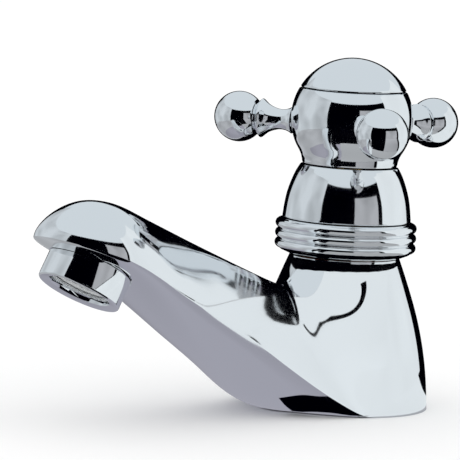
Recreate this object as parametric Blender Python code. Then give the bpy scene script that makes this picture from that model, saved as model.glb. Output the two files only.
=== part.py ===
"""Chrome basin pillar tap with a rubber-washer headwork and a three-arm ball handle.

Metres, +Z up. The origin is on the deck, on the valve axis. The spout points along -Y.
Lengths written in millimetres are multiplied by MM where a mesh is made.
"""

import math

import bmesh
import bpy
from mathutils import Matrix, Vector

MM = 0.001
GAP = 0.3                  # clearance between neighbouring pieces

# Body and spout casting
BASE_R = 28.5              # round base on the deck
BODY_TOP_Z = 47.0          # flat face under the ring collar
NOSE_U = 104.0             # centre of the hooded nose, measured out from the valve axis
NOSE_R = 18.0
CREASE_U = 11.5            # where the side crease leaves the deck
FILLET = 22.0              # height over which skirt and spout flow together
BOSS_R = 14.5              # wall round the valve chamber
CHAMBER_R = 10.8
CHAMBER_FLOOR_Z = 19.6
SEAT_BORE_R = 9.3
RECESS_R = 24.6            # recess for the base gasket
RECESS_Z = 2.3
# The core that left the spout hollow: (distance out, height, radius) along its middle.
CORE = [
    (6, 26, 4.6), (22, 28, 6.0), (34, 28, 8.0), (46, 29, 9.0),
    (60, 35, 8.6), (76, 43, 7.8), (90, 50, 6.6), (99, 56, 5.0),
]

# Outlet: its axis leans out from the vertical
OUTLET_TILT = math.radians(29.0)
OUTLET_U = 109.5           # centre of the outlet's lowest face
OUTLET_Z = 40.2
HOUSING_R = 12.85
HOUSING_H = 9.5
OUTLET_BOSS_R = 13.7
OUTLET_BORE_R = 11.6

# Tail under the deck, G 1/2 thread
TAIL_R = 10.48
TAIL_BORE_R = 6.5
TAIL_END_Z = -52.0
TAIL_TOP_Z = 13.7
DECK_THICKNESS = 16.0      # basin ledge between base and backnut

# Valve
SEAT_TOP_Z = 20.6
SPINDLE_R = 4.1
SPINDLE_TOP_Z = 88.0
BONNET_TOP_Z = 70.0

# Handle
HEAD_R = 19.15
HEAD_Z = 90.1
CAP_SEAM_Z = 99.6
ARM_Z = 88.3
BALL_R = 8.0
BALL_AT = 36.8             # ball centre, out from the valve axis
ARM_ANGLES = (90.0, 210.0, 330.0)


# ---------------------------------------------------------------- scene and materials

for old in list(bpy.data.objects):
    bpy.data.objects.remove(old, do_unlink=True)


def plain_material(name, colour, roughness, metallic):
    """A Principled material of one colour."""
    made = bpy.data.materials.new(name)
    made.use_nodes = True
    shader = made.node_tree.nodes["Principled BSDF"]
    shader.inputs["Base Color"].default_value = (*colour, 1.0)
    shader.inputs["Roughness"].default_value = roughness
    shader.inputs["Metallic"].default_value = metallic
    made.diffuse_color = (*colour, 1.0)
    return made


CHROME = plain_material("chrome", (0.86, 0.88, 0.90), 0.04, 1.0)
BRASS = plain_material("brass", (0.74, 0.56, 0.26), 0.25, 1.0)
STEEL = plain_material("steel", (0.62, 0.62, 0.63), 0.3, 1.0)
RUBBER = plain_material("rubber", (0.03, 0.03, 0.032), 0.7, 0.0)
FIBRE = plain_material("fibre", (0.42, 0.13, 0.08), 0.8, 0.0)
PLASTIC = plain_material("plastic", (0.62, 0.64, 0.65), 0.4, 0.0)


# ---------------------------------------------------------------- mesh helpers

def finish_object(name, mesh_data, material):
    """Puts a bmesh into the scene as one named, smooth-shaded object."""
    bmesh.ops.remove_doubles(mesh_data, verts=mesh_data.verts, dist=1e-6)
    bmesh.ops.recalc_face_normals(mesh_data, faces=mesh_data.faces)
    mesh = bpy.data.meshes.new(name)
    mesh_data.to_mesh(mesh)
    mesh_data.free()
    mesh.materials.append(material)
    mesh.shade_smooth()
    mesh.set_sharp_from_angle(angle=math.radians(35.0))
    made = bpy.data.objects.new(name, mesh)
    bpy.context.scene.collection.objects.link(made)
    return made


def turned(name, profile, material, segments=32, place=None):
    """Spins an outline of (radius, height) pairs in mm round +Z.

    A ring's outline is a closed loop off the axis. A solid's starts and ends on the axis.
    """
    spun = bmesh.new()
    corners = [spun.verts.new((radius * MM, 0.0, height * MM)) for radius, height in profile]
    edges = [spun.edges.new(pair) for pair in zip(corners, corners[1:])]
    if profile[0][0] > 0.0:
        edges.append(spun.edges.new((corners[-1], corners[0])))
    bmesh.ops.spin(
        spun, geom=corners + edges, cent=(0, 0, 0), axis=(0, 0, 1),
        angle=math.tau, steps=segments, use_merge=True,
    )
    if place is not None:
        bmesh.ops.transform(spun, matrix=place, verts=spun.verts)
    return finish_object(name, spun, material)


def hexagon(name, across_flats, low, high, material):
    """A hexagonal prism round the valve axis."""
    corner_r = across_flats / math.sqrt(3.0)
    return turned(name, [(0, high), (corner_r, high), (corner_r, low), (0, low)], material, 6)


def as_cutter(helper):
    """Marks a helper solid that only shapes its neighbours."""
    helper.hide_render = True
    helper.display_type = "WIRE"
    return helper


def combine(target, helper, operation="DIFFERENCE"):
    """Adds an exact Boolean to the target."""
    as_cutter(helper)
    step = target.modifiers.new(helper.name, "BOOLEAN")
    step.operation = operation
    step.solver = "EXACT"
    step.object = helper


def arc(centre_r, centre_z, radius, start, end, steps):
    """Points on an arc in the outline plane, angles in degrees from +R towards +Z."""
    angles = [math.radians(start + (end - start) * step / steps) for step in range(steps + 1)]
    return [(centre_r + radius * math.cos(a), centre_z + radius * math.sin(a)) for a in angles]


def smooth_through(points, value):
    """Monotone smooth interpolation of (x, y) pairs, flat beyond both ends."""
    if value <= points[0][0]:
        return points[0][1]
    for index in range(len(points) - 1):
        (x0, y0), (x1, y1) = points[index], points[index + 1]
        if value <= x1:
            break
    else:
        return points[-1][1]

    def slope(at):
        before, here, after = points[max(at - 1, 0)], points[at], points[min(at + 1, len(points) - 1)]
        return (after[1] - before[1]) / (after[0] - before[0])

    width = x1 - x0
    t = (value - x0) / width
    m0, m1 = slope(index) * width, slope(index + 1) * width
    return (
        (2 * t**3 - 3 * t**2 + 1) * y0 + (t**3 - 2 * t**2 + t) * m0
        + (-2 * t**3 + 3 * t**2) * y1 + (t**3 - t**2) * m1
    )


# ---------------------------------------------------------------- body and spout

# Each pair is (distance out from the valve axis, value), in mm.
HALF_WIDTH = [
    (CREASE_U, 26.1), (28, 21.8), (40, 19.2), (55, 17.2), (78, 16.2), (92, 17.0), (NOSE_U, NOSE_R),
]
CREASE_Z = [
    (CREASE_U, 0.0), (16, 1.8), (28, 8.6), (40, 16.4), (55, 26.2), (78, 38.2), (100, 49.6), (122, 57.2),
]
BELLY_DEPTH = [
    (CREASE_U, 3.0), (27, 8.2), (36, 12.0), (47, 13.0), (65, 11.0), (80, 8.0), (100, 4.5), (122, 2.0),
]
RIDGE_Z = [
    (-14, -40.0), (2, 26.0), (20, 36.4), (34, 41.4), (57, 50.3),
    (86, 61.9), (98, 66.5), (106, 67.6), (113, 66.4), (118, 63.6),
]
# Skirt height against distance from the valve axis.
SKIRT_Z = [
    (13.5, 56.0), (15.6, 51.0), (17.4, 47.0), (20.2, 39.5), (23.2, 31.0),
    (25.4, 23.0), (27.0, 15.0), (28.0, 7.0), (BASE_R, 0.0), (29.5, -18.0),
]
NOSE_END = NOSE_U + NOSE_R


def half_width(u):
    """Half the plan width of the casting at u: base circle, waist, round nose."""
    if u <= CREASE_U:
        return math.sqrt(max(BASE_R**2 - u**2, 0.0))
    if u >= NOSE_U:
        return math.sqrt(max(NOSE_R**2 - (u - NOSE_U)**2, 0.0))
    return smooth_through(HALF_WIDTH, u)


def ridge_z(u):
    """Height of the spout's crest, which rolls over at the nose."""
    roll_from = 106.0
    if u <= roll_from:
        return smooth_through(RIDGE_Z, u)
    top, low = smooth_through(RIDGE_Z, roll_from), smooth_through(CREASE_Z, NOSE_END)
    x = (u - roll_from) / (NOSE_END - roll_from)
    return low + (top - low) * max(1.0 - x**1.7, 0.0) ** 0.72


def upper_z(u, w):
    """Height of the outer skin above the point (u, w)."""
    x = min(abs(w) / max(half_width(u), 1e-6), 1.0)
    hood = min(max((u - 76.0) / 26.0, 0.0), 1.0)
    hood = hood * hood * (3.0 - 2.0 * hood)
    low = smooth_through(CREASE_Z, u)
    shape = (1.0 - x ** (1.55 + 0.55 * hood)) ** (1.12 - 0.52 * hood)
    spout = low + (ridge_z(u) - low) * shape
    skirt = smooth_through(SKIRT_Z, math.hypot(u, w))
    if math.hypot(u, w) > 29.5:
        skirt = -18.0
    high = max(spout, skirt)
    blend = FILLET * min(max(high, 0.0) / 16.0, 1.0)
    near = max(blend - abs(spout - skirt), 0.0)
    return high + (near * near / (4.0 * blend) if blend > 0.0 else 0.0)


def lower_z(u, w):
    """Height of the underside: flat on the deck, then the hull-shaped belly."""
    if u <= CREASE_U:
        return 0.0
    x = min(abs(w) / max(half_width(u), 1e-6), 1.0)
    low = smooth_through(CREASE_Z, u)
    return max(low - smooth_through(BELLY_DEPTH, u) * math.sqrt(1.0 - x * x), 0.0)


def casting(name, stations, across, material):
    """Lofts the outer form of body and spout as rings from the back of the base to the nose."""
    loft = bmesh.new()
    rings = []
    for u in stations:
        width = half_width(u)
        angles = [math.pi * step / across for step in range(across + 1)]
        widths = [width * math.cos(angle) for angle in angles]
        top = [(w, upper_z(u, w)) for w in widths]
        bottom = [(w, lower_z(u, w)) for w in reversed(widths[1:-1])]
        rings.append([loft.verts.new((w * MM, -u * MM, z * MM)) for w, z in top + bottom])
    for one, two in zip(rings, rings[1:]):
        count = len(one)
        for index in range(count):
            following = (index + 1) % count
            loft.faces.new((one[index], one[following], two[following], two[index]))
    bmesh.ops.remove_doubles(loft, verts=loft.verts, dist=2e-5)
    bmesh.ops.triangulate(loft, faces=loft.faces)
    return finish_object(name, loft, material)


def body_stations(back, front, nose):
    """Distances of the loft's rings, closer together where the plan outline turns in."""
    behind = [-BASE_R * math.cos(0.5 * math.pi * step / back) for step in range(back)]
    along = [NOSE_U * step / front for step in range(front)]
    round_nose = [NOSE_U + NOSE_R * math.sin(0.5 * math.pi * step / nose) for step in range(nose + 1)]
    return behind + along + round_nose


OUTLET = (
    Matrix.Translation((0.0, -OUTLET_U * MM, OUTLET_Z * MM))
    @ Matrix.Rotation(-OUTLET_TILT, 4, "X")
)


def tube(name, centres, material, sides=12):
    """A closed round bar in the YZ plane through (u, z, radius) stations."""
    bar = bmesh.new()
    rings = []
    for index, (u, z, radius) in enumerate(centres):
        before, after = centres[max(index - 1, 0)], centres[min(index + 1, len(centres) - 1)]
        along = Vector((0.0, before[0] - after[0], after[1] - before[1])).normalized()
        up = Vector((1.0, 0.0, 0.0)).cross(along)
        middle = Vector((0.0, -u, z))
        ring = []
        for side in range(sides):
            angle = math.tau * side / sides
            offset = radius * (math.cos(angle) * Vector((1.0, 0.0, 0.0)) + math.sin(angle) * up)
            ring.append(bar.verts.new((middle + offset) * MM))
        rings.append(ring)
    for one, two in zip(rings, rings[1:]):
        for index in range(sides):
            following = (index + 1) % sides
            bar.faces.new((one[index], one[following], two[following], two[index]))
    bar.faces.new(rings[0])
    bar.faces.new(rings[-1])
    return finish_object(name, bar, material)


def make_spout_body():
    body = casting("spout_body", body_stations(7, 20, 7), 16, CHROME)
    combine(body, turned(
        "outlet_boss", [(0, 15.5), (OUTLET_BOSS_R, 15.5), (OUTLET_BOSS_R, 9.8), (0, 9.8)],
        CHROME, 32, OUTLET,
    ), "UNION")
    combine(body, turned(
        "flat_top_cutter", [(0, 70), (26, 70), (26, BODY_TOP_Z), (0, BODY_TOP_Z)], BRASS, 24,
    ))
    combine(body, turned("valve_bore_cutter", [
        (0, BODY_TOP_Z + 3), (CHAMBER_R, BODY_TOP_Z + 3), (CHAMBER_R, CHAMBER_FLOOR_Z),
        (SEAT_BORE_R, CHAMBER_FLOOR_Z), (SEAT_BORE_R, -3), (0, -3),
    ], BRASS, 32))
    combine(body, turned("gasket_recess_cutter", [
        (0, RECESS_Z), (RECESS_R, RECESS_Z), (RECESS_R, -3), (0, -3),
    ], BRASS, 40))
    combine(body, turned("core_cutter", [
        (BOSS_R, 17.0), (20.0, 17.0), (23.6, 1.0), (BOSS_R, 1.0),
    ], BRASS, 32))
    combine(body, tube("waterway_cutter", CORE, BRASS))
    combine(body, turned("housing_clearance_cutter", [
        (0, 9.8), (HOUSING_R + GAP, 9.8), (HOUSING_R + GAP, -6.0), (0, -6.0),
    ], BRASS, 40, OUTLET))
    combine(body, turned("outlet_bore_cutter", [
        (0, 19.6), (OUTLET_BORE_R, 19.6), (OUTLET_BORE_R, 8.0), (0, 8.0),
    ], BRASS, 32, OUTLET))


def make_outlet():
    """Aerator screwed up into the nose: housing, screen, straightener and seal."""
    turned("aerator_housing", [
        (9.6, 0.4), (12.1, 0.0), (12.5, 0.1), (HOUSING_R, 0.6), (HOUSING_R, HOUSING_H),
        (11.3, HOUSING_H), (11.3, 16.2), (10.0, 16.2), (10.0, 3.0), (9.6, 3.0),
    ], CHROME, 28, OUTLET)
    screen = turned("aerator_screen", [(0, 5.0), (9.6, 5.0), (9.6, 3.3), (0, 3.3)], PLASTIC, 24, OUTLET)
    straightener = turned(
        "flow_straightener", [(0, 12.0), (9.6, 12.0), (9.6, 7.0), (0, 7.0)], PLASTIC, 24, OUTLET,
    )
    for index in range(7):
        radius = 0.0 if index == 0 else 5.6
        angle = math.tau * index / 6
        at = OUTLET @ Matrix.Translation((radius * MM * math.cos(angle), radius * MM * math.sin(angle), 0.0))
        hole = turned(f"jet_cutter_{index}", [(0, 14), (1.9, 14), (1.9, 2), (0, 2)], PLASTIC, 8, at)
        combine(screen, hole)
        combine(straightener, hole)
    turned("aerator_seal", [(7.6, 18.6), (10.9, 18.6), (10.9, 16.6), (7.6, 16.6)], RUBBER, 20, OUTLET)


def make_fixings():
    """Threaded tail with everything that clamps the tap to the deck."""
    turned("inlet_tail", [
        (TAIL_BORE_R, TAIL_TOP_Z), (9.0, TAIL_TOP_Z), (9.0, 2.0), (TAIL_R, 2.0),
        (TAIL_R, TAIL_END_Z + 1.2), (TAIL_R - 1.2, TAIL_END_Z), (TAIL_BORE_R, TAIL_END_Z),
    ], BRASS, 24)
    turned("base_gasket", [(10.9, 2.0), (24.2, 2.0), (24.2, 0.0), (10.9, 0.0)], RUBBER, 28)
    low = -DECK_THICKNESS
    turned("rubber_washer", [(10.9, low), (19.0, low), (19.0, low - 2.0), (10.9, low - 2.0)], RUBBER, 24)
    low -= 2.0 + GAP
    turned("metal_washer", [(10.9, low), (19.0, low), (19.0, low - 1.5), (10.9, low - 1.5)], STEEL, 24)
    low -= 1.5 + GAP
    nut = hexagon("backnut", 30.0, low - 8.0, low, BRASS)
    combine(nut, turned("backnut_bore_cutter", [
        (0, low + 2), (10.8, low + 2), (10.8, low - 10), (0, low - 10),
    ], BRASS, 24))


def make_headwork():
    """Valve that the handle turns: seat, bonnet, spindle, and the jumper that it lifts."""
    turned("valve_seat", [
        (5.5, 14.0), (9.0, 14.0), (9.0, 19.2), (7.6, SEAT_TOP_Z - 0.4), (7.0, SEAT_TOP_Z), (5.5, 20.0),
    ], BRASS, 24)
    turned("headwork_seal", [(10.8, 48.5), (14.0, 48.5), (14.0, 47.3), (10.8, 47.3)], FIBRE, 24)
    bonnet = turned("headwork_bonnet", [
        (8.4, 34.0), (10.2, 34.0), (10.45, 35.0), (10.45, 48.8), (13.8, 48.8), (13.8, 50.4), (11.4, 50.4),
        (11.4, 57.0), (8.6, 57.0), (8.6, BONNET_TOP_Z), (4.45, BONNET_TOP_Z), (4.45, 49.7), (8.4, 49.7),
    ], BRASS, 24)
    spanner_hex = hexagon("bonnet_hex", 24.0, 50.2, 56.2, BRASS)
    combine(spanner_hex, turned("bonnet_hex_bore", [(0, 60), (9.5, 60), (9.5, 45), (0, 45)], BRASS, 24))
    combine(bonnet, spanner_hex, "UNION")
    turned("spindle", [
        (0, 33.8), (4.3, 33.8), (4.9, 34.4), (4.9, 47.3), (7.8, 47.3), (7.8, 49.1), (SPINDLE_R, 49.1),
        (SPINDLE_R, 55.2), (3.0, 55.2), (3.0, 57.4), (SPINDLE_R, 57.4),
        (SPINDLE_R, 61.2), (3.0, 61.2), (3.0, 63.4), (SPINDLE_R, 63.4),
        (SPINDLE_R, 70.4), (3.2, 70.4), (3.2, 71.6), (SPINDLE_R, 71.6),
        (SPINDLE_R, SPINDLE_TOP_Z), (2.2, SPINDLE_TOP_Z), (2.2, 76.0), (0, 75.0),
    ], BRASS, 16)
    for number, low in enumerate((55.4, 61.4), start=1):
        turned(
            f"spindle_o_ring_{number}",
            arc(3.76, low + 0.9, 0.45, 0, 315, 7), RUBBER, 16,
        )
    clip = turned("spindle_circlip", [(3.5, 71.4), (6.4, 71.4), (6.4, 70.6), (3.5, 70.6)], STEEL, 24)
    mouth = bmesh.new()
    bmesh.ops.create_cube(mouth, size=1.0)
    bmesh.ops.scale(mouth, vec=(3.0 * MM, 8.0 * MM, 4.0 * MM), verts=mouth.verts)
    bmesh.ops.translate(mouth, vec=(0.0, 6.0 * MM, 71.0 * MM), verts=mouth.verts)
    combine(clip, finish_object("circlip_mouth_cutter", mouth, STEEL))
    turned("jumper", [
        (0, 18.0), (2.0, 18.0), (2.0, 24.3), (7.0, 24.3), (7.0, 26.0), (7.9, 27.0), (7.9, 41.5),
        (5.25, 41.5), (5.25, 28.0), (0, 28.0),
    ], BRASS, 20)
    turned("tap_washer", [(2.3, 24.0), (8.2, 24.0), (8.2, 20.9), (2.3, 20.9)], RUBBER, 20)
    nut = hexagon("washer_nut", 7.0, 18.2, 20.6, BRASS)
    combine(nut, turned("washer_nut_bore_cutter", [(0, 24), (2.3, 24), (2.3, 16), (0, 16)], BRASS, 20))


def make_trim():
    """Ring collar and bell that dress the headwork; both stay still when the handle turns."""
    beads = []
    for centre in (50.4, 53.5, 56.6):
        beads += arc(20.75, centre, 1.45, -78, 78, 5)
    turned("ring_collar", [
        (17.0, 47.3), (17.6, 47.3), (20.4, 48.4), *beads, (20.4, 58.3), (17.0, 58.3),
    ], CHROME, 32)
    turned("bell_shroud", [
        (18.2, 58.6), (20.1, 58.6), (20.15, 59.4), (19.7, 62.6), (19.1, 66.0), (18.1, 69.4), (16.8, 72.8),
        (15.5, 75.3), (10.5, 75.3), (10.5, 73.6), (14.4, 73.6), (16.2, 69.4), (17.4, 65.0), (18.0, 61.0),
    ], CHROME, 32)


def make_handle():
    """Hub, cap, three arms and three balls, all on the valve axis."""
    axis = bpy.data.objects.new("handle_axis", None)
    bpy.context.scene.collection.objects.link(axis)
    seam_angle = math.degrees(math.asin((CAP_SEAM_Z - HEAD_Z) / HEAD_R))
    neck_angle = math.degrees(math.asin((81.3 - HEAD_Z) / HEAD_R))
    head = turned("handle_head", [
        (4.4, 77.4), (4.4, 89.0), (2.9, 89.0), (2.9, 91.6), (12.6, 91.6), (12.6, CAP_SEAM_Z - GAP),
        *arc(0, HEAD_Z, HEAD_R, seam_angle - 0.9, neck_angle, 8),
        (15.7, 78.8), (15.1, 77.2), (14.9, 75.9), (13.2, 75.9), (13.2, 78.0), (15.2, 83.0),
        (15.2, 88.8), (7.2, 88.8), (7.2, 77.4),
    ], CHROME, 32)
    turned("index_cap", [
        (0, HEAD_Z + HEAD_R), *arc(0, HEAD_Z, HEAD_R, 82, seam_angle, 6),
        (12.3, CAP_SEAM_Z), (12.3, 96.0), (10.6, 96.0), (10.6, 101.5), (0, 104.0),
    ], CHROME, 32)
    turned("handle_screw", [
        (0, 94.6), (4.4, 94.6), (4.9, 94.1), (4.9, 91.9), (1.9, 91.9), (1.9, 79.0), (0, 78.2),
    ], STEEL, 16)
    for number, degrees in enumerate(ARM_ANGLES, start=1):
        outward = (
            Matrix.Rotation(math.radians(degrees), 4, "Z")
            @ Matrix.Translation((0.0, 0.0, ARM_Z * MM))
            @ Matrix.Rotation(math.radians(90.0), 4, "Y")
        )
        combine(head, turned(
            f"arm_hole_cutter_{number}", [(0, 22), (2.7, 22), (2.7, 14.2), (0, 14.2)], STEEL, 12, outward,
        ))
        arm = turned(f"handle_arm_{number}", [
            (0, 15.6), (2.4, 15.6), (2.4, 19.3), (4.3, 19.5), (3.6, 20.6), (3.2, 22.4), (3.4, 24.4),
            (4.4, 27.0), (6.15, 29.1), (6.15, 29.5), (4.7, 30.9), (4.7, 31.3), (1.8, 31.3),
            (1.8, 35.5), (0, 35.5),
        ], CHROME, 16, outward)
        ball = turned(f"arm_ball_{number}", [
            (0, BALL_AT + BALL_R), *arc(0, BALL_AT, BALL_R, 75, -45, 8), (5.0, 31.6), (2.1, 31.6),
            (2.1, 35.9), (0, 35.9),
        ], CHROME, 16, outward)
        for piece in (arm, ball):
            piece.parent = axis


make_spout_body()
make_outlet()
make_fixings()
make_headwork()
make_trim()
make_handle()
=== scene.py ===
import math

import bmesh
import bpy
from mathutils import Matrix, Vector


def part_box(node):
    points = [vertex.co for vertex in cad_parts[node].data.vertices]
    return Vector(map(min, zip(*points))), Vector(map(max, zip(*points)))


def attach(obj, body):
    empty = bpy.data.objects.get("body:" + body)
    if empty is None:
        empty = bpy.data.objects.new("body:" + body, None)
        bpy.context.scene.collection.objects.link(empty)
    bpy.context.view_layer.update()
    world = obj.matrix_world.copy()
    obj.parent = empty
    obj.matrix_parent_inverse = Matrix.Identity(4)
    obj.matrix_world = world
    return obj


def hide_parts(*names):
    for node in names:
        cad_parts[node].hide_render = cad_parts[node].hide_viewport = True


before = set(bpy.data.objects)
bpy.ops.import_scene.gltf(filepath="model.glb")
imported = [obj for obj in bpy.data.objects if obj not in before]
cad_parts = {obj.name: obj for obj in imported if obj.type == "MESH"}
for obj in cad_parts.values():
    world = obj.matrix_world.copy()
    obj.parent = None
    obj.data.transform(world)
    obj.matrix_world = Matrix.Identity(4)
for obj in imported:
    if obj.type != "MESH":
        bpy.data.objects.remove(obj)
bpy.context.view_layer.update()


# ---- Body and spout ---------------------------------------------------------------------------
# One hollow brass casting: a round base that flares up into a column, and a spout that grows out of
# it and ends in a hooded nose. It is ground and polished by hand, then plated with bright chrome,
# so long soft waves stay in its surface. Lengths are in millimetres and become metres through MM.

MM = 0.001
body_low, body_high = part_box("spout_body")
BASE_R = body_high.y / MM
NOSE_END = -body_low.y / MM
NOSE_R = 18.0
NOSE_U = NOSE_END - NOSE_R
CREASE_U = 11.5
FILLET = 22.0
COLUMN_TOP = 47.0
CREASE_ROUNDING = 0.6
HOOD_START = 62.0
HOOD_END = 106.0

# Each pair is (distance out from the valve axis, value).
HALF_WIDTH = [
    (CREASE_U, 26.1), (28, 21.8), (40, 19.2), (55, 17.2), (78, 16.2), (92, 17.0), (NOSE_U, NOSE_R),
]
CREASE_Z = [
    (CREASE_U, 0.0), (16, 1.8), (28, 8.6), (40, 16.4), (55, 26.2), (78, 38.2), (100, 49.6), (122, 57.2),
]
BELLY_DEPTH = [
    (CREASE_U, 3.0), (27, 8.2), (36, 12.0), (47, 13.0), (65, 11.0), (80, 8.0), (100, 4.5), (122, 2.0),
]
RIDGE_Z = [
    (-14, -40.0), (2, 26.0), (20, 36.4), (34, 41.4), (57, 50.3),
    (86, 61.9), (98, 66.5), (106, 67.6), (113, 66.4), (118, 63.6),
]
SKIRT_Z = [
    (13.5, 56.0), (15.6, 51.0), (17.4, 47.0), (20.2, 39.5), (23.2, 31.0),
    (25.4, 23.0), (27.0, 15.0), (28.0, 7.0), (BASE_R, 0.0), (29.5, -18.0),
]
# How far the cage's lines crowd towards the rim: all the way on steep walls, little along the spout.
CROWDING = [(0, 0.72), (14, 0.7), (34, 0.4), (74, 0.4), (98, 0.75), (122, 0.75)]


def smooth_through(points, value):
    """Smooth interpolation of (x, y) pairs, flat beyond both ends."""
    if value <= points[0][0]:
        return points[0][1]
    if value >= points[-1][0]:
        return points[-1][1]
    index = max(i for i, point in enumerate(points[:-1]) if point[0] <= value)

    def slope(at):
        before, after = points[max(at - 1, 0)], points[min(at + 1, len(points) - 1)]
        return (after[1] - before[1]) / (after[0] - before[0])

    (x0, y0), (x1, y1) = points[index], points[index + 1]
    width = x1 - x0
    t = (value - x0) / width
    m0, m1 = slope(index) * width, slope(index + 1) * width
    return (
        (2 * t**3 - 3 * t**2 + 1) * y0 + (t**3 - 2 * t**2 + t) * m0
        + (3 * t**2 - 2 * t**3) * y1 + (t**3 - t**2) * m1
    )


def half_width(u):
    """Half the plan width at u: base circle, waist, round nose."""
    if u <= CREASE_U:
        return math.sqrt(max(BASE_R**2 - u**2, 0.0))
    if u >= NOSE_U:
        return math.sqrt(max(NOSE_R**2 - (u - NOSE_U)**2, 0.0))
    return smooth_through(HALF_WIDTH, u)


def ridge_z(u):
    """Height of the spout's crest, which rolls over at the nose."""
    roll_from = 106.0
    if u <= roll_from:
        return smooth_through(RIDGE_Z, u)
    top, low = smooth_through(RIDGE_Z, roll_from), smooth_through(CREASE_Z, NOSE_END)
    x = min((u - roll_from) / (NOSE_END - roll_from), 1.0)
    return low + (top - low) * (1.0 - x**1.7) ** 0.72


def upper_z(u, w):
    """Height of the outer skin over (u, w): spout and skirt, run together by a wide fillet."""
    x = min(abs(w) / max(half_width(u), 1e-6), 1.0)
    hood = min(max((u - HOOD_START) / (HOOD_END - HOOD_START), 0.0), 1.0)
    hood = hood * hood * (3.0 - 2.0 * hood)
    low = smooth_through(CREASE_Z, u)
    crest = (1.0 - x ** (1.55 + 0.55 * hood)) ** (1.12 - 0.52 * hood)
    spout = low + (ridge_z(u) - low) * crest
    skirt = smooth_through(SKIRT_Z, math.hypot(u, w))
    high = max(spout, skirt)
    blend = FILLET * min(max(high, 0.0) / 16.0, 1.0)
    near = max(blend - abs(spout - skirt), 0.0)
    return high + (near * near / (4.0 * blend) if blend > 0.0 else 0.0)


def lower_z(u, w):
    """Height of the underside: flat on the deck, then the hull-shaped belly, closed round the nose."""
    if u <= CREASE_U:
        return 0.0
    x = math.hypot(u - NOSE_U, w) / NOSE_R if u > NOSE_U else abs(w) / half_width(u)
    depth = smooth_through(BELLY_DEPTH, u) * math.sqrt(max(1.0 - x * x, 0.0))
    return max(smooth_through(CREASE_Z, u) - depth, 0.0)


def plan_point(p, q):
    """Plan place of grid point (p, q), each from -1 to 1: half discs at both ends, stations between."""
    base_end, nose_start = -0.6, 0.56
    packed = 0.7
    if p < base_end:
        share = (p - base_end) / (1.0 + base_end)
    elif p > nose_start:
        share = (p - nose_start) / (1.0 - nose_start)
    else:
        share = 0.0
    a = (1.0 - packed) * share + packed * math.sin(0.5 * math.pi * share)
    run = min(max((p - base_end) / (nose_start - base_end), 0.0), 1.0)
    centre = NOSE_U * run
    crowd = smooth_through(CROWDING, centre + max(a, 0.0) * NOSE_R)
    b = (1.0 - crowd) * q + crowd * math.sin(0.5 * math.pi * q)
    if share == 0.0:
        return centre, half_width(centre) * b
    radius = BASE_R if share < 0.0 else NOSE_R
    return centre + radius * a * math.sqrt(1.0 - b * b / 2), radius * b * math.sqrt(1.0 - a * a / 2)


def skin(height):
    """Half of the casting's cage: a grid laid over the plan outline and raised to height(u, w)."""
    half = bmesh.new()
    bmesh.ops.create_grid(half, x_segments=54, y_segments=30, size=1.0)
    for corner in half.verts:
        u, w = plan_point(corner.co.x, corner.co.y)
        corner.co = (w * MM, -u * MM, height(u, w) * MM)
    return half


def arc(centre_r, centre_z, radius, start, end, steps):
    """Points on a round stretch of an outline, angles in degrees from outwards towards up."""
    angles = [math.radians(start + (end - start) * step / steps) for step in range(steps + 1)]
    return [(centre_r + radius * math.cos(a), centre_z + radius * math.sin(a)) for a in angles]


def turned(outline, steps=96, place=None):
    """Spins a (radius, height) outline round +Z. A ring's outline is a closed loop off the axis."""
    shape = bmesh.new()
    corners = [shape.verts.new((radius * MM, 0.0, height * MM)) for radius, height in outline]
    edges = [shape.edges.new(pair) for pair in zip(corners, corners[1:])]
    if outline[0][0] > 0.0:
        edges.append(shape.edges.new((corners[-1], corners[0])))
    bmesh.ops.spin(
        shape, geom=corners + edges, cent=(0, 0, 0), axis=(0, 0, 1),
        angle=math.tau, steps=steps, use_merge=True,
    )
    if place is not None:
        bmesh.ops.transform(shape, matrix=place, verts=shape.verts)
    bmesh.ops.remove_doubles(shape, verts=shape.verts, dist=1e-7)
    bmesh.ops.recalc_face_normals(shape, faces=shape.faces)
    return shape


def new_object(name, shape):
    """An object at the origin with the bmesh as its mesh."""
    mesh = bpy.data.meshes.new(name)
    shape.to_mesh(mesh)
    shape.free()
    made = bpy.data.objects.new(name, mesh)
    bpy.context.scene.collection.objects.link(made)
    return made


def settle(piece):
    """Works a piece's modifiers into its mesh."""
    bpy.context.view_layer.update()
    shaped = piece.evaluated_get(bpy.context.evaluated_depsgraph_get())
    piece.data = bpy.data.meshes.new_from_object(shaped)
    piece.modifiers.clear()


def combine(piece, helper, operation="DIFFERENCE"):
    """Adds the helper shape to the piece, or takes it away, and removes the helper."""
    tool = new_object("shaping_tool", helper)
    step = piece.modifiers.new("shaping", "BOOLEAN")
    step.operation = operation
    step.solver = "MANIFOLD"
    step.object = tool
    settle(piece)
    bpy.data.objects.remove(tool)


def keep(piece, material, body, nodes, sharp=32.0):
    """Gives a shaped piece its finish and its place in the frame, in place of CAD nodes."""
    piece.data.materials.clear()
    piece.data.materials.append(material)
    piece.data.shade_smooth()
    piece.data.set_sharp_from_angle(angle=math.radians(sharp))
    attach(piece, body)
    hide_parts(*nodes)
    return piece


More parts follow.
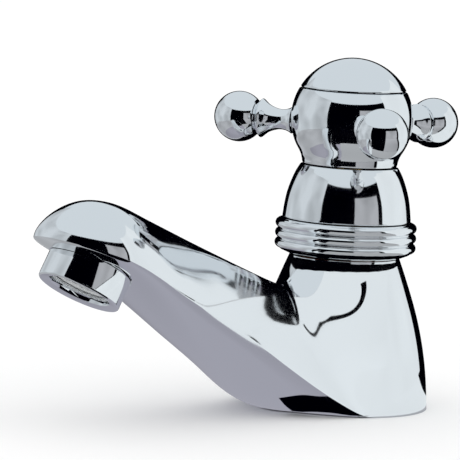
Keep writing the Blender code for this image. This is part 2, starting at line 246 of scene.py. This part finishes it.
def unevenness():
    """Node group: patchy variation between two values, and a height for a Bump node."""
    group = bpy.data.node_groups.new("unevenness", "ShaderNodeTree")
    sockets = group.interface
    sockets.new_socket("Vector", in_out="INPUT", socket_type="NodeSocketVector")
    for label, value in (("Scale", 100.0), ("Detail", 4.0), ("Low", 0.0), ("High", 1.0)):
        sockets.new_socket(label, in_out="INPUT", socket_type="NodeSocketFloat").default_value = value
    sockets.new_socket("Value", in_out="OUTPUT", socket_type="NodeSocketFloat")
    sockets.new_socket("Height", in_out="OUTPUT", socket_type="NodeSocketFloat")
    start, end = group.nodes.new("NodeGroupInput"), group.nodes.new("NodeGroupOutput")
    noise = group.nodes.new("ShaderNodeTexNoise")
    spread = group.nodes.new("ShaderNodeMapRange")
    spread.inputs["From Min"].default_value = 0.32
    spread.inputs["From Max"].default_value = 0.68
    for label in ("Vector", "Scale", "Detail"):
        group.links.new(start.outputs[label], noise.inputs[label])
    group.links.new(noise.outputs["Fac"], spread.inputs["Value"])
    group.links.new(start.outputs["Low"], spread.inputs["To Min"])
    group.links.new(start.outputs["High"], spread.inputs["To Max"])
    group.links.new(spread.outputs["Result"], end.inputs["Value"])
    group.links.new(noise.outputs["Fac"], end.inputs["Height"])
    return group


UNEVEN = unevenness()


def plain_finish(name, colour, metallic, roughness):
    """A Principled material, ready for its detail. Returns (material, nodes, shader, coordinates)."""
    made = bpy.data.materials.new(name)
    made.use_nodes = True
    made.diffuse_color = (*colour, 1.0)
    nodes = made.node_tree.nodes
    shader = nodes["Principled BSDF"]
    shader.inputs["Base Color"].default_value = (*colour, 1.0)
    shader.inputs["Metallic"].default_value = metallic
    shader.inputs["Roughness"].default_value = roughness
    return made, nodes, shader, nodes.new("ShaderNodeTexCoord").outputs["Object"]


def uneven(material, vector, scale, detail=4.0, low=0.0, high=1.0):
    """One unevenness group node in the material."""
    node = material.node_tree.nodes.new("ShaderNodeGroup")
    node.node_tree = UNEVEN
    for label, value in (("Scale", scale), ("Detail", detail), ("Low", low), ("High", high)):
        node.inputs[label].default_value = value
    material.node_tree.links.new(vector, node.inputs["Vector"])
    return node


def relief(material, shader, layers):
    """Chains Bump nodes into the shader's Normal. A layer is (height socket, strength, depth in m)."""
    links = material.node_tree.links
    previous = None
    for height, strength, depth in layers:
        bump = material.node_tree.nodes.new("ShaderNodeBump")
        bump.inputs["Strength"].default_value = strength
        bump.inputs["Distance"].default_value = depth
        links.new(height, bump.inputs["Height"])
        if previous is not None:
            links.new(previous.outputs["Normal"], bump.inputs["Normal"])
        previous = bump
    links.new(previous.outputs["Normal"], shader.inputs["Normal"])


def chrome_plate(name, wave, haze):
    """Bright chrome over polished brass: a faint long wave, a finer polishing grain, patchy haze."""
    made, nodes, shader, place = plain_finish(name, (0.90, 0.915, 0.93), 1.0, 0.03)
    clouds = uneven(made, place, 45.0, 3.0, 0.03, haze)
    made.node_tree.links.new(clouds.outputs["Value"], shader.inputs["Roughness"])
    waves = uneven(made, place, 38.0, 1.0)
    grain = uneven(made, place, 2600.0, 2.0)
    relief(made, shader, [
        (waves.outputs["Height"], 1.0, wave),
        (grain.outputs["Height"], 0.05, 0.000004),
    ])
    return made


CAST_CHROME = chrome_plate("cast_chrome", 0.00012, 0.10)

casting = skin(upper_z)
underside = skin(lower_z)
joined = bpy.data.meshes.new("underside")
underside.to_mesh(joined)
underside.free()
casting.from_mesh(joined)
bpy.data.meshes.remove(joined)
rim = [edge for edge in casting.edges if edge.is_boundary]
for edge in rim:
    edge.seam = True
rim_corners = list({corner for edge in rim for corner in edge.verts})
bmesh.ops.remove_doubles(casting, verts=rim_corners, dist=2e-5)
bmesh.ops.recalc_face_normals(casting, faces=casting.faces)
crease = [edge for edge in casting.edges if edge.seam]
bmesh.ops.bevel(
    casting, geom=crease, offset=CREASE_ROUNDING * MM, offset_type="OFFSET", segments=2, profile=0.5,
    affect="EDGES", material=-1, clamp_overlap=True,
)
body = new_object("body_casting", casting)
rounding = body.modifiers.new("rounding", "SUBSURF")
rounding.levels = rounding.render_levels = 2
settle(body)

# The outlet's own axis: out along the spout, up, and tilted as the housing is.
outlet_tilt = Matrix.Rotation(math.radians(-29.0), 4, "X")
OUTLET = Matrix.Translation((0.0, -109.5 * MM, 40.2 * MM)) @ outlet_tilt
BOSS_R = 13.7
BOSS_TOP = 15.5
HOUSING_R = 12.85
SOCKET_R = HOUSING_R + 0.3
SOCKET_TOP = 9.8
WATER_R = 11.6
CHAMBER_R = 10.8
SEAT_R = 9.3
SEAT_Z = 19.6
RECESS_R = 24.6
RECESS_TOP = 2.3
# How far a cutter runs past the face that it opens.
PAST = 3.0

# The outlet's boss is added. The column's top is faced, the valve chamber, the seat bore and the
# gasket's recess are turned out, the base is hollowed, and the outlet's socket and bore are sunk.
boss = [(0, BOSS_TOP), (BOSS_R, BOSS_TOP), (BOSS_R, SOCKET_TOP), (0, SOCKET_TOP)]
combine(body, turned(boss, 96, OUTLET), "UNION")
combine(body, turned([(0, 70), (26, 70), (26, COLUMN_TOP), (0, COLUMN_TOP)], 48))
valve_bore = [(0, COLUMN_TOP + PAST), (CHAMBER_R, COLUMN_TOP + PAST), (CHAMBER_R, SEAT_Z)]
combine(body, turned([*valve_bore, (SEAT_R, SEAT_Z), (SEAT_R, -PAST), (0, -PAST)], 64))
combine(body, turned([(0, RECESS_TOP), (RECESS_R, RECESS_TOP), (RECESS_R, -PAST), (0, -PAST)], 96))
combine(body, turned([(14.5, 17), (20, 17), (23.6, 1), (14.5, 1)], 64))
combine(body, turned([(0, SOCKET_TOP), (SOCKET_R, SOCKET_TOP), (SOCKET_R, -6), (0, -6)], 96, OUTLET))
combine(body, turned([(0, 19.6), (WATER_R, 19.6), (WATER_R, 8), (0, 8)], 64, OUTLET))
keep(body, CAST_CHROME, "tap_base", ["spout_body"])


# ---- Ring collar ------------------------------------------------------------------------------
# A turned brass ring that sits on the column and dresses the headwork's hexagon: three round beads
# one above another, over a chamfer that runs back in to the column.

CHROME = chrome_plate("chrome", 0.00004, 0.08)

beads = []
for centre in (50.4, 53.5, 56.6):
    beads += arc(20.75, centre, 1.45, -80, 80, 16)
collar = new_object("beaded_collar", turned([
    (17.0, 47.3), (17.5, 47.3), (17.8, 47.38), (20.3, 48.42), (20.55, 48.62), *beads,
    (20.7, 58.2), (20.4, 58.3), (17.0, 58.3),
], 160))
keep(collar, CHROME, "tap_base", ["ring_collar"])


# ---- Bell -------------------------------------------------------------------------------------
# A spun brass shell, chromed outside, that screws down over the headwork and hides it. It stands
# still while the handle above it turns.

BELL_SIDE = [(59.1, 20.15), (62.6, 19.75), (66.0, 19.15), (69.4, 18.15), (72.8, 16.8), (75.0, 15.6)]


def swept_side(points, steps):
    """An outline's (radius, height) points up a side given as a few (height, radius) pairs."""
    low, high = points[0][0], points[-1][0]
    heights = [low + (high - low) * step / steps for step in range(steps + 1)]
    return [(smooth_through(points, height), height) for height in heights]


bell = new_object("bell", turned([
    (18.2, 58.6), (19.7, 58.6), *arc(19.75, 59.0, 0.4, -80, 0, 4), *swept_side(BELL_SIDE, 36),
    *arc(15.1, 75.0, 0.4, 20, 90, 4), (10.5, 75.4), (10.5, 73.6), (14.2, 73.6), (15.4, 71.4),
    (16.3, 69.0), (17.2, 65.0), (17.9, 61.0),
], 160))
keep(bell, CHROME, "tap_base", ["bell_shroud"])


# ---- Handle hub and cap -----------------------------------------------------------------------
# The hub is a turned brass ball, hollow below, held to the spindle by a screw that the cap hides.
# The cap is the top of the same ball, pressed in, so only a hair-line shows between them.

HUB_R = 19.15
HUB_Z = 90.1
SEAM_Z = 99.6
HAIRLINE = 0.3
EASE = 0.35


def on_ball(height):
    """Angle up the ball, in degrees, of a point at that height."""
    return math.degrees(math.asin((height - HUB_Z) / HUB_R))


hub_seam = on_ball(SEAM_Z - HAIRLINE - EASE)
hub = new_object("handle_hub", turned([
    (4.4, 77.4), (4.4, 89.0), (2.9, 89.0), (2.9, 91.6), (12.6, 91.6), (12.6, SEAM_Z - HAIRLINE),
    (16.15, SEAM_Z - HAIRLINE), (16.5, SEAM_Z - HAIRLINE - 0.08),
    *arc(0, HUB_Z, HUB_R, hub_seam, on_ball(81.3), 60),
    *reversed(swept_side([(76.3, 14.95), (77.2, 15.1), (78.8, 15.6), (81.3, 17.0)], 16)[:-1]),
    (14.8, 75.95), (14.5, 75.8), (13.2, 75.8), (13.2, 78.0), (15.0, 83.0), (15.0, 88.8),
    (7.2, 88.8), (7.2, 77.4),
], 160))

cap = new_object("domed_cap", turned([
    *arc(0, HUB_Z, HUB_R, 90, on_ball(SEAM_Z + EASE), 44), (16.5, SEAM_Z + 0.08), (16.15, SEAM_Z),
    (12.3, SEAM_Z), (12.3, 96.0), (10.6, 96.0), (10.6, 101.5), (0, 104.0),
], 160))


# ---- Arms and balls ---------------------------------------------------------------------------
# Three turned arms screw into the hub. Each has a waisted neck and a sharp double-cone bead, and
# carries a solid brass ball on a stud. The lengths run outwards from the valve axis.

ARM_Z = 88.3
BALL_R = 8.0
BALL_AT = 36.8
ARM_NECK = [(19.4, 4.25), (20.6, 3.6), (22.4, 3.2), (24.4, 3.4), (27.0, 4.4), (29.0, 6.0)]

for number, degrees in enumerate((90.0, 210.0, 330.0), start=1):
    outward = (
        Matrix.Rotation(math.radians(degrees), 4, "Z") @ Matrix.Translation((0.0, 0.0, ARM_Z * MM))
        @ Matrix.Rotation(math.radians(90.0), 4, "Y")
    )
    combine(hub, turned([(0, 22), (2.7, 22), (2.7, 14.2), (0, 14.2)], 24, outward))
    arm = new_object(f"arm_{number}", turned([
        (0, 15.6), (2.4, 15.6), (2.4, 19.2), (4.1, 19.25), *swept_side(ARM_NECK, 40),
        *arc(5.95, 29.3, 0.2, -40, 40, 4), (4.75, 30.8), (4.5, 31.3), (1.8, 31.3),
        (1.8, 35.5), (0, 35.5),
    ], 96, outward))
    ball = new_object(f"ball_{number}", turned([
        *arc(0, BALL_AT, BALL_R, 90, -44, 60), (5.2, 31.5), (4.9, 31.45), (2.1, 31.6),
        (2.1, 35.9), (0, 35.9),
    ], 96, outward))
    keep(arm, CHROME, "handle", [f"handle_arm_{number}"])
    keep(ball, CHROME, "handle", [f"arm_ball_{number}"])

keep(hub, CHROME, "handle", ["handle_head"])
keep(cap, CHROME, "handle", ["index_cap"])


# ---- Outlet -----------------------------------------------------------------------------------
# The chromed housing screws up into the nose and holds the aerator: a moulded grid at the mouth with
# a flow straightener above it. All of it is turned about the outlet's own leaning axis.

housing = new_object("outlet_housing", turned([
    (9.6, 1.0), (9.75, 0.75), (12.0, 0.12), (12.3, 0.12), *arc(HOUSING_R - 0.6, 0.7, 0.6, -80, 0, 6),
    *arc(HOUSING_R - 0.5, 9.0, 0.5, 0, 90, 5), (11.3, 9.5), (11.3, 16.2), (10.0, 16.2),
    (10.0, 3.0), (9.6, 3.0),
], 128, OUTLET))
keep(housing, CHROME, "tap_base", ["aerator_housing"])


def honeycomb(low, high, reach, cell, wall):
    """Hexagonal cells side by side within a reach of the outlet's axis, to cut through a disc."""
    cells = bmesh.new()
    pitch = cell * math.sqrt(3.0) + wall
    steps = math.ceil(reach / pitch)
    for row in range(-steps, steps + 1):
        for column in range(-steps, steps + 1):
            x, y = pitch * (column + 0.5 * row), pitch * row * math.sqrt(0.75)
            if math.hypot(x, y) < reach:
                at = OUTLET @ Matrix.Translation((x * MM, y * MM, 0.5 * (low + high) * MM))
                bmesh.ops.create_cone(
                    cells, cap_ends=True, segments=6, radius1=cell * MM, radius2=cell * MM,
                    depth=(high - low) * MM, matrix=at,
                )
    return cells


def moulded(name, colour, roughness):
    """Moulded plastic: a fine matt grain with slightly shinier patches."""
    made, nodes, shader, place = plain_finish(name, colour, 0.0, roughness)
    sheen = uneven(made, place, 260.0, 3.0, roughness - 0.08, roughness + 0.1)
    made.node_tree.links.new(sheen.outputs["Value"], shader.inputs["Roughness"])
    grain = uneven(made, place, 6000.0, 3.0)
    relief(made, shader, [(grain.outputs["Height"], 0.35, 0.00002)])
    return made


def rubber(name, colour):
    """Moulded rubber: matt, with a faint dusty bloom and a fine pitted skin."""
    made, nodes, shader, place = plain_finish(name, colour, 0.0, 0.62)
    bloom = uneven(made, place, 320.0, 5.0)
    dust = nodes.new("ShaderNodeMix")
    dust.data_type = "RGBA"
    dust.inputs["A"].default_value = (*colour, 1.0)
    dust.inputs["B"].default_value = (*(3.2 * part for part in colour), 1.0)
    made.node_tree.links.new(bloom.outputs["Value"], dust.inputs["Factor"])
    made.node_tree.links.new(dust.outputs["Result"], shader.inputs["Base Color"])
    shine = uneven(made, place, 90.0, 3.0, 0.5, 0.78)
    made.node_tree.links.new(shine.outputs["Value"], shader.inputs["Roughness"])
    pits = uneven(made, place, 4200.0, 4.0)
    relief(made, shader, [(pits.outputs["Height"], 0.5, 0.00003)])
    return made


PALE_PLASTIC = moulded("grey_acetal", (0.62, 0.64, 0.65), 0.42)
BLACK_RUBBER = rubber("black_rubber", (0.03, 0.03, 0.032))

grid = new_object("aerator_grid", turned([
    (0, 5.0), (9.2, 5.0), (9.4, 4.9), (9.6, 4.7), (9.6, 3.5), (9.45, 3.3), (9.2, 3.25),
    (8.7, 3.25), (8.5, 3.6), (0, 3.6),
], 96, OUTLET))
combine(grid, honeycomb(2.5, 6.0, 7.7, 1.05, 0.5))
keep(grid, PALE_PLASTIC, "tap_base", ["aerator_screen"])

straightener = new_object("jet_straightener", turned([
    (0, 12.0), (9.3, 12.0), (9.6, 11.7), (9.6, 7.3), (9.3, 7.0), (0, 7.0),
], 96, OUTLET))
combine(straightener, honeycomb(6.0, 13.0, 7.7, 1.55, 0.7))
keep(straightener, PALE_PLASTIC, "tap_base", ["flow_straightener"])

outlet_seal = new_object("outlet_seal", turned([
    *arc(8.0, 18.2, 0.4, 180, 90, 4), *arc(10.5, 18.2, 0.4, 90, 0, 4),
    *arc(10.5, 17.0, 0.4, 0, -90, 4), *arc(8.0, 17.0, 0.4, -90, -180, 4),
], 96, OUTLET))
keep(outlet_seal, BLACK_RUBBER, "tap_base", ["aerator_seal"])


# ---- Threaded tail ----------------------------------------------------------------------------
# A brass shank screwed up into the body and down through the deck. Its half-inch pipe thread takes
# the backnut and the supply pipe's connector, so it runs nearly the whole length, and it fades out
# under the base.

TAIL_R = 10.48
TAIL_BORE = 6.5
TAIL_END = -52.0
PITCH = 25.4 / 14
THREAD_DEPTH = 1.16
THREAD_FADE = 1.8


def machined_brass(name, line_pitch):
    """Bare turned brass: fine tool lines round the valve axis, duller brown patches, a soft gloss."""
    made, nodes, shader, place = plain_finish(name, (0.74, 0.56, 0.26), 1.0, 0.28)
    links = made.node_tree.links
    tarnish = uneven(made, place, 130.0, 6.0)
    tint = nodes.new("ShaderNodeMix")
    tint.data_type = "RGBA"
    tint.inputs["A"].default_value = (0.80, 0.60, 0.29, 1.0)
    tint.inputs["B"].default_value = (0.56, 0.37, 0.15, 1.0)
    links.new(tarnish.outputs["Value"], tint.inputs["Factor"])
    links.new(tint.outputs["Result"], shader.inputs["Base Color"])
    gloss = uneven(made, place, 210.0, 4.0, 0.2, 0.4)
    links.new(gloss.outputs["Value"], shader.inputs["Roughness"])
    squash = nodes.new("ShaderNodeMapping")
    squash.inputs["Scale"].default_value = (0.02, 0.02, 1.0)
    links.new(place, squash.inputs["Vector"])
    lines = uneven(made, squash.outputs["Vector"], 1.0 / (line_pitch * MM), 2.0)
    pits = uneven(made, place, 1800.0, 5.0)
    relief(made, shader, [
        (lines.outputs["Height"], 0.5, 0.00003),
        (pits.outputs["Height"], 0.12, 0.00002),
    ])
    return made


def thread_depth(angle, height, low, high):
    """How far the thread cuts in, in mm: a rounded vee along a helix, run out at both ends."""
    turn = height / PITCH - angle / math.tau
    fade = min(max((height - low) / THREAD_FADE, 0.0), max((high - height) / THREAD_FADE, 0.0), 1.0)
    return THREAD_DEPTH * fade * (0.5 - 0.5 * math.cos(math.tau * turn))


BRASS = machined_brass("turned_brass", 0.35)

SHANK_STEPS = 280
SHANK_TOP = 1.4
END_CHAMFER = 1.2
shank_run = SHANK_TOP - TAIL_END - END_CHAMFER
shank_side = [(TAIL_R, SHANK_TOP - shank_run * step / SHANK_STEPS) for step in range(SHANK_STEPS + 1)]
shank_shape = turned([
    (TAIL_BORE, 13.7), (9.0, 13.7), (9.0, 2.0), (TAIL_R - 0.3, 2.0), (TAIL_R, 1.7), *shank_side,
    (TAIL_R - END_CHAMFER, TAIL_END), (TAIL_BORE + 0.3, TAIL_END), (TAIL_BORE, TAIL_END + 0.3),
], 72)
for corner in shank_shape.verts:
    height = corner.co.z / MM
    radius = math.hypot(corner.co.x, corner.co.y)
    if radius > (TAIL_R - 0.01) * MM:
        cut = thread_depth(math.atan2(corner.co.y, corner.co.x), height, TAIL_END - 1.0, 0.4)
        corner.co.xy *= 1.0 - cut * MM / radius
shank = new_object("threaded_tail", shank_shape)
keep(shank, BRASS, "tap_base", ["inlet_tail"], 60.0)


# ---- Gasket, washers and backnut --------------------------------------------------------------
# The tap stands on a black rubber gasket. Under the deck a rubber washer and a steel one spread the
# pull of a brass backnut, forged with rounded corners, faced on both sides and tapped for the tail.


def cut_washer(inner, outer, low, high, rounding, steps=96):
    """A ring with the same rounding on all four edges."""
    return turned([
        *arc(inner + rounding, high - rounding, rounding, 180, 90, 3),
        *arc(outer - rounding, high - rounding, rounding, 90, 0, 3),
        *arc(outer - rounding, low + rounding, rounding, 0, -90, 3),
        *arc(inner + rounding, low + rounding, rounding, -90, -180, 3),
    ], steps)


def brushed_steel(name):
    """Stamped stainless steel: rings of fine brushing round the valve axis and a few cloudy patches."""
    made, nodes, shader, place = plain_finish(name, (0.62, 0.62, 0.63), 1.0, 0.3)
    links = made.node_tree.links
    gloss = uneven(made, place, 180.0, 4.0, 0.22, 0.42)
    links.new(gloss.outputs["Value"], shader.inputs["Roughness"])
    around = nodes.new("ShaderNodeVectorMath")
    around.operation = "LENGTH"
    flat = nodes.new("ShaderNodeMapping")
    flat.inputs["Scale"].default_value = (1.0, 1.0, 0.0)
    links.new(place, flat.inputs["Vector"])
    links.new(flat.outputs["Vector"], around.inputs[0])
    spread = nodes.new("ShaderNodeCombineXYZ")
    links.new(around.outputs["Value"], spread.inputs["X"])
    rings = uneven(made, spread.outputs["Vector"], 5200.0, 3.0)
    scuffs = uneven(made, place, 1500.0, 6.0)
    relief(made, shader, [
        (rings.outputs["Height"], 0.4, 0.00002),
        (scuffs.outputs["Height"], 0.1, 0.00002),
    ])
    return made


STEEL = brushed_steel("brushed_steel")
WASHER_LOW = -18.0
STEEL_LOW = -19.8
NUT_HIGH = -20.1
NUT_LOW = -28.1
NUT_FLATS = 30.0

gasket = new_object("deck_gasket", cut_washer(10.9, 24.2, 0.0, 2.0, 0.3))
keep(gasket, BLACK_RUBBER, "tap_base", ["base_gasket"])
cushion = new_object("rubber_ring", cut_washer(10.9, 19.0, WASHER_LOW, -16.0, 0.35))
keep(cushion, BLACK_RUBBER, "tap_base", ["rubber_washer"])
plate = new_object("steel_ring", cut_washer(10.9, 19.0, STEEL_LOW, WASHER_LOW - 0.3, 0.2))
keep(plate, STEEL, "tap_base", ["metal_washer"])

corner_r = NUT_FLATS / math.sqrt(3.0)
nut_shape = bmesh.new()
bmesh.ops.create_cone(
    nut_shape, cap_ends=True, segments=6, radius1=corner_r * MM, radius2=corner_r * MM,
    depth=(NUT_HIGH - NUT_LOW) * MM, matrix=Matrix.Translation((0, 0, 0.5 * (NUT_HIGH + NUT_LOW) * MM)),
)
upright = [edge for edge in nut_shape.edges if abs(edge.verts[0].co.z - edge.verts[1].co.z) > MM]
bmesh.ops.bevel(
    nut_shape, geom=upright, offset=0.5 * MM, offset_type="OFFSET", segments=3, profile=0.5,
    affect="EDGES", material=-1,
)
nut = new_object("tail_nut", nut_shape)
combine(nut, turned([
    (0, NUT_HIGH + 0.01), (14.6, NUT_HIGH + 0.01), (corner_r + 0.1, NUT_HIGH - 1.5),
    (corner_r + 0.1, NUT_LOW + 1.5), (14.6, NUT_LOW - 0.01), (0, NUT_LOW - 0.01),
], 96), "INTERSECT")
combine(nut, turned([
    (0, NUT_HIGH + 1), (12.4, NUT_HIGH + 1), (12.4, NUT_HIGH + 0.001), (10.8, NUT_HIGH - 1.4),
    (10.8, NUT_LOW + 1.4), (12.4, NUT_LOW - 0.001), (12.4, NUT_LOW - 1), (0, NUT_LOW - 1),
], 96))
keep(nut, BRASS, "tap_base", ["backnut"])


# ---- Headwork ---------------------------------------------------------------------------------
# The valve inside the column and bell: a brass bonnet on a red fibre washer, the spindle with its
# o-rings and clip, and the jumper that its screw lifts off the seat. They keep the frame's shapes.


def pressed_fibre(name):
    """Pressed fibre sheet: a mottled brick red with short pale fibres and a dry, rough face."""
    made, nodes, shader, place = plain_finish(name, (0.42, 0.13, 0.08), 0.0, 0.8)
    links = made.node_tree.links
    mottle = uneven(made, place, 900.0, 6.0)
    tint = nodes.new("ShaderNodeMix")
    tint.data_type = "RGBA"
    tint.inputs["A"].default_value = (0.34, 0.085, 0.05, 1.0)
    tint.inputs["B"].default_value = (0.52, 0.19, 0.12, 1.0)
    links.new(mottle.outputs["Value"], tint.inputs["Factor"])
    links.new(tint.outputs["Result"], shader.inputs["Base Color"])
    rough = uneven(made, place, 400.0, 3.0, 0.7, 0.9)
    links.new(rough.outputs["Value"], shader.inputs["Roughness"])
    fibres = uneven(made, place, 2400.0, 8.0)
    relief(made, shader, [(fibres.outputs["Height"], 0.6, 0.00006)])
    return made


FIBRE = pressed_fibre("pressed_fibre")
FINE_BRASS = machined_brass("fine_turned_brass", 0.18)
INSIDE = {
    "valve_seat": FINE_BRASS, "headwork_bonnet": BRASS, "spindle": FINE_BRASS, "jumper": FINE_BRASS,
    "washer_nut": BRASS, "headwork_seal": FIBRE, "spindle_o_ring_1": BLACK_RUBBER,
    "spindle_o_ring_2": BLACK_RUBBER, "tap_washer": BLACK_RUBBER, "spindle_circlip": STEEL,
    "handle_screw": STEEL,
}
for node, finish in INSIDE.items():
    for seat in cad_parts[node].material_slots:
        seat.material = finish


# ---- Studio -----------------------------------------------------------------------------------
# The tap stands in its hole in a pale deck, inside a light tent. Polished chrome shows only what is
# round it. The tent's panels and cloths light nothing and are seen only in reflections, so they are
# painted reflections that give it tone: a dark opening where the camera looks in, a dark wall far
# behind, a bright panel on the right and a dimmer one on the left.

DARK = (0.0, 0.0, 0.001)
SHADE = (0.37, 0.38, 0.40)
PALE = (0.785, 0.835, 0.86)
LEFT = (0.53, 0.57, 0.60)
# The next two are floor tones seen only in reflections: painted shade under and left of the spout,
# where the tap shades the floor, then the floor further out, painted darker than the pale deck is seen.
FLOOR_IN_PAINTED_SHADE = (0.31, 0.31, 0.36)
FLOOR_FAR = (0.43, 0.445, 0.467)
EVEN = 0.97
PATCHY = 0.8
CAMERA_BEARING = 315.0


def stand_in_tent(name, shape, glow):
    """A part of the tent that only reflections see. Its cloth is lit a little unevenly."""
    dimmest = EVEN if glow == PALE else PATCHY
    panel = new_object(name, shape)
    made = bpy.data.materials.new(name)
    made.use_nodes = True
    nodes = made.node_tree.nodes
    links = made.node_tree.links
    nodes.remove(nodes["Principled BSDF"])
    place = nodes.new("ShaderNodeTexCoord").outputs["Object"]
    clouds = uneven(made, place, 7.0, 1.0, dimmest, 2.0 - dimmest)
    shade = nodes.new("ShaderNodeVectorMath")
    shade.operation = "SCALE"
    shade.inputs[0].default_value = glow
    lamp = nodes.new("ShaderNodeEmission")
    links.new(clouds.outputs["Value"], shade.inputs["Scale"])
    links.new(shade.outputs["Vector"], lamp.inputs["Color"])
    links.new(lamp.outputs["Emission"], nodes["Material Output"].inputs["Surface"])
    panel.data.materials.append(made)
    panel.visible_camera = False
    panel.visible_diffuse = False
    panel.visible_shadow = False
    panel.visible_transmission = False
    panel.visible_volume_scatter = False


def wall(start, end, low, high, away):
    """A curved wall round the tap between two bearings, in degrees to the right of the camera."""
    shape = bmesh.new()
    first = math.radians(CAMERA_BEARING + start)
    foot = Vector((away * math.cos(first), away * math.sin(first), low))
    head = Vector((foot.x, foot.y, high))
    edge = shape.edges.new((shape.verts.new(foot), shape.verts.new(head)))
    bmesh.ops.spin(
        shape, geom=[*edge.verts, edge], cent=(0, 0, 0), axis=(0, 0, 1),
        angle=math.radians(end - start), steps=24,
    )
    return shape


def cloth(start, end, near, far, height, centre=(0.0, 0.0)):
    """A flat ring sector between two bearings and two distances, at a height."""
    shape = bmesh.new()
    first = math.radians(CAMERA_BEARING + start)
    foot = Vector((*centre, height))
    out = Vector((math.cos(first), math.sin(first), 0.0))
    edge = shape.edges.new((shape.verts.new(foot + near * out), shape.verts.new(foot + far * out)))
    bmesh.ops.spin(
        shape, geom=[*edge.verts, edge], cent=foot, axis=(0, 0, 1),
        angle=math.radians(end - start), steps=24,
    )
    return shape


TENT_R = 0.30
OPENING_TOP = 0.262
FLOOR = 0.0004
# The shelf runs round the tap at collar height and is seen only in reflections: painted dark and grey
# reflections on top for the head, a painted pale reflection below for the body.
SHELF = 0.047
COLLAR_EDGE = 0.0225
SHELF_STEP = 0.056
tent = [
    ("opening", wall(-46, 14, 0.0, OPENING_TOP, TENT_R), DARK),
    ("opening_side", wall(14, 66, SHELF, OPENING_TOP, TENT_R), DARK),
    ("opening_blind", wall(14, 58, SHELF, 0.19, 0.96 * TENT_R), SHADE),
    ("shelf_near", cloth(-20, 66, COLLAR_EDGE, SHELF_STEP, SHELF + 0.0003), (0.40, 0.415, 0.43)),
    ("shelf_opening", cloth(-20, 66, SHELF_STEP, TENT_R, SHELF + 0.0006), DARK),
    ("shelf_blind", cloth(14, 58, SHELF_STEP, TENT_R, SHELF + 0.0012), SHADE),
    ("shelf_below", cloth(-20, 66, COLLAR_EDGE, TENT_R, SHELF), PALE),
    # A thin dark ring under the shelf: a painted dark line in the column's reflection.
    ("shelf_painted_dark_line", cloth(-20, 140, 0.0122, 0.0160, SHELF - 0.0005, (0.0276, -0.0233)), DARK),
    ("collar_shade", cloth(-179, 180, 0.0182, COLLAR_EDGE, SHELF - 0.0002), DARK),
    ("wall_below", wall(14, 66, 0.0, SHELF, TENT_R), PALE),
    # Floor sheets seen only in reflections: painted shade near the tap, then further out a floor
    # painted darker than the deck is seen.
    ("left_floor_painted_shade", cloth(-140, 14, 0.020, 0.11, FLOOR), FLOOR_IN_PAINTED_SHADE),
    ("far_left_floor_painted_darker", cloth(-140, 14, 0.11, TENT_R, FLOOR), FLOOR_FAR),
    ("front_cloth", cloth(-42, 14, 0.100, TENT_R, 2.0 * FLOOR), DARK),
    # A dark patch by the front of the base, seen only in reflections: painted contact shadow.
    ("foot_painted_shadow", cloth(-27, 22, 0.0287, 0.039, 2.0 * FLOOR), DARK),
    ("right_cloth", cloth(14, 128, 0.030, TENT_R, FLOOR), PALE),
    ("right_panel", wall(66, 134, 0.0, 0.34, TENT_R), PALE),
    ("back_wall", wall(134, 222, 0.0, 0.21, TENT_R), DARK),
    ("back_cloth", cloth(128, 212, 0.035, TENT_R, FLOOR), DARK),
    ("left_panel", wall(-138, -46, 0.0, 0.28, TENT_R), LEFT),
]
for name, shape, glow in tent:
    stand_in_tent(name, shape, glow)


def tone_by_ray(tree, seen, reflected, target):
    """Gives a colour socket one colour where it is seen or lights, and another in reflections."""
    ray = tree.nodes.new("ShaderNodeLightPath")
    tone = tree.nodes.new("ShaderNodeMix")
    tone.data_type = "RGBA"
    tone.inputs["A"].default_value = (*seen, 1.0)
    tone.inputs["B"].default_value = (*reflected, 1.0)
    tree.links.new(ray.outputs["Is Glossy Ray"], tone.inputs["Factor"])
    tree.links.new(tone.outputs["Result"], target)


# The backdrop is bright white where seen and where it lights, and a dimmer blue-grey painted into
# reflections.
world = bpy.data.worlds.new("studio")
bpy.context.scene.world = world
world.use_nodes = True
sky = world.node_tree.nodes["Background"].inputs["Color"]
tone_by_ray(world.node_tree, (1.1, 1.1, 1.1), (0.66, 0.72, 0.76), sky)

TAP_HOLE_R = 0.0112
deck_shape = bmesh.new()
reach = [deck_shape.verts.new((radius, 0.0, 0.0)) for radius in (TAP_HOLE_R, 0.06, 0.3, 2.0, 9.0)]
strips = [deck_shape.edges.new(pair) for pair in zip(reach, reach[1:])]
bmesh.ops.spin(
    deck_shape, geom=reach + strips, cent=(0, 0, 0), axis=(0, 0, 1),
    angle=math.tau, steps=64, use_merge=True,
)
bmesh.ops.recalc_face_normals(deck_shape, faces=deck_shape.faces)
deck = new_object("deck", deck_shape)
# The deck is pale where seen and where it is lit, and painted darker grey in reflections.
deck_with_painted_reflection = bpy.data.materials.new("pale_deck_painted_darker_in_reflections")
deck_with_painted_reflection.use_nodes = True
paint = deck_with_painted_reflection.node_tree.nodes["Principled BSDF"]
paint.inputs["Roughness"].default_value = 0.9
paint.inputs["Specular IOR Level"].default_value = 0.0
tone_by_ray(deck_with_painted_reflection.node_tree, (0.95, 0.95, 0.95), (0.46, 0.47, 0.50), paint.inputs["Base Color"])
deck.data.materials.append(deck_with_painted_reflection)

CAMERA_AWAY = 1.102
CAMERA_UP = 0.172
CAMERA_ROLL = 3.0
bearing = math.radians(CAMERA_BEARING)
camera_at = Vector((CAMERA_AWAY * math.cos(bearing), CAMERA_AWAY * math.sin(bearing), CAMERA_UP))
aim = Vector((-0.0257, -0.0257, 0.053))
camera = bpy.data.objects.new("camera", bpy.data.cameras.new("camera"))
bpy.context.scene.collection.objects.link(camera)
look = (aim - camera_at).to_track_quat("-Z", "Y").to_matrix().to_4x4()
roll = Matrix.Rotation(math.radians(CAMERA_ROLL), 4, "Z")
camera.matrix_world = Matrix.Translation(camera_at) @ look @ roll
camera.data.sensor_width = 36.0
camera.data.lens = 276.0
bpy.context.scene.camera = camera
bpy.context.scene.view_settings.view_transform = "Standard"
